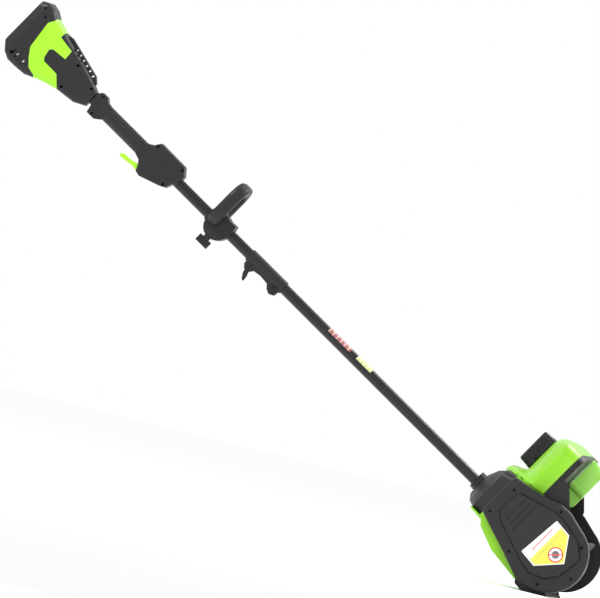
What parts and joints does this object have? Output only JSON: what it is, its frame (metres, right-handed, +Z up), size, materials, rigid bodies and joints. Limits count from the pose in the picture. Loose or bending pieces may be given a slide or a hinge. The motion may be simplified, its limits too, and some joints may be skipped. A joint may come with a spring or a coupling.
{
  "type": "cordless snow shovel",
  "caption": "Long-handled cordless snow shovel with belt-driven rotor, steerable discharge vane, D-loop front grip, trigger handle and empty battery dock.",
  "frame": {"origin": "on the ground below the rotor axle, halfway across the tool's pole, on the underside of the scraper bar", "axes": "+Z up, +Y back along the pole over the ground towards the battery end, +X to the side without the belt case"},
  "size_m": [0.3426, 1.5966, 1.0424],
  "materials": {
    "green_plastic": "moulded, satin gloss, bright yellow-green",
    "bright_green_plastic": "moulded, gloss, bright lime",
    "clear_green_plastic": "tinted clear sheet",
    "black_plastic": "moulded, fine grain, satin black",
    "scraper_plastic": "hard wearing black plastic, scuffed edge",
    "black_tube": "powder-coated tube",
    "bright_steel": "zinc plated",
    "black_screws": "black oxide",
    "paddle_rubber": "dense rubber",
    "hub_plastic": "moulded core",
    "motor_steel": "drawn steel can",
    "pulley_metal": "turned",
    "contact_brass": "plated blades",
    "board_green": "circuit board with sealing coat",
    "lead_jacket": "round jacket",
    "label_sheet": "printed film, white band, yellow field, red ring, no words",
    "red_sticker": "printed film, no words",
    "lime_sticker": "printed film, no words"
  },
  "bodies": {
    "body": {"battery_dock": "black_plastic", "battery_shroud": "green_plastic", "bearing_far": "bright_steel", "bearing_near": "bright_steel", "belt_cover": "black_plastic", "blade_contacts": "contact_brass", "collar_screw": "black_screws", "control_board": "board_green", "coupler": "black_plastic", "coupler_bolt": "bright_steel", "coupler_nut": "bright_steel", "cover_screws": "black_screws", "discharge_hood": "green_plastic", "drive_belt": "paddle_rubber", "far_cover": "black_plastic", "far_plate": "black_plastic", "far_screws": "black_screws", "handle_screws": "black_screws", "handle_shell_far": "black_plastic", "handle_shell_near": "black_plastic", "hood_tray": "black_plastic", "latch_pin": "bright_steel", "lead_plug": "black_plastic", "lead_socket": "black_plastic", "lower_lead": "lead_jacket", "lower_tube": "black_tube", "motor_can": "motor_steel", "near_plate": "black_plastic", "neck_housing": "black_plastic", "nose_screws": "black_screws", "nose_shell_far": "black_plastic", "nose_shell_near": "black_plastic", "rating_sticker": "lime_sticker", "rear_shell": "green_plastic", "rotor_scoop": "black_plastic", "scraper_bar": "scraper_plastic", "scraper_screws": "black_screws", "side_label": "label_sheet", "terminal_block": "black_plastic", "trigger_pin": "bright_steel", "trigger_switch": "black_plastic", "upper_lead": "lead_jacket", "upper_tube": "black_tube", "warning_sticker": "red_sticker"},
    "rotor": {"rotor_axle": "bright_steel", "rotor_hub": "hub_plastic", "rotor_paddles": "paddle_rubber", "large_pulley": "pulley_metal"},
    "motor_rotor": {"motor_shaft": "bright_steel", "small_pulley": "pulley_metal"},
    "steering_vane": {"vane_knob": "black_plastic", "vane_shaft": "bright_steel", "vane": "clear_green_plastic"},
    "trigger_lever": {"trigger": "bright_green_plastic"},
    "lock_off": {"lock_button": "black_plastic"},
    "front_grip": {"front_handle": "black_plastic", "clamp_cap": "black_plastic", "clamp_screw": "bright_steel"},
    "grip_knob": {"wing_knob": "black_plastic"},
    "coupler_latch": {"latch_lever": "black_plastic"}
  },
  "joints": [
    {"name": "rotor_spin", "type": "hinge", "parent": "body", "child": "rotor", "pos_m": [0, 0, 0.097], "axis": [1, 0, 0], "continuous": true},
    {"name": "motor_spin", "type": "hinge", "parent": "body", "child": "motor_rotor", "pos_m": [0, 0.10817, 0.17133], "axis": [1, 0, 0], "continuous": true},
    {"name": "vane_turn", "type": "hinge", "parent": "body", "child": "steering_vane", "pos_m": [0, 0.08664, 0.31006], "axis": [0, 0.8572, 0.515], "range_deg": [-30, 30]},
    {"name": "trigger_pull", "type": "hinge", "parent": "body", "child": "trigger_lever", "pos_m": [0, 1.1315, 0.71854], "axis": [1, 0, 0], "range_deg": [0, 10]},
    {"name": "lock_press", "type": "slide", "parent": "body", "child": "lock_off", "axis": [-1, 0, 0], "range_m": [0, 0.0025]},
    {"name": "grip_slide", "type": "slide", "parent": "body", "child": "front_grip", "axis": [0, 0.8572, 0.515], "range_m": [-0.05, 0.085]},
    {"name": "grip_knob_turn", "type": "hinge", "parent": "front_grip", "child": "grip_knob", "pos_m": [-0.02, 0.95424, 0.60387], "axis": [0, -0.515, 0.8572], "range_deg": [-360, 0]},
    {"name": "latch_lift", "type": "hinge", "parent": "body", "child": "coupler_latch", "pos_m": [0, 0.84434, 0.5635], "axis": [1, 0, 0], "range_deg": [0, 20]}
  ],
  "couplings": [
    {"joint": "motor_spin", "follows": "rotor_spin", "ratio": 3.5}
  ]
}
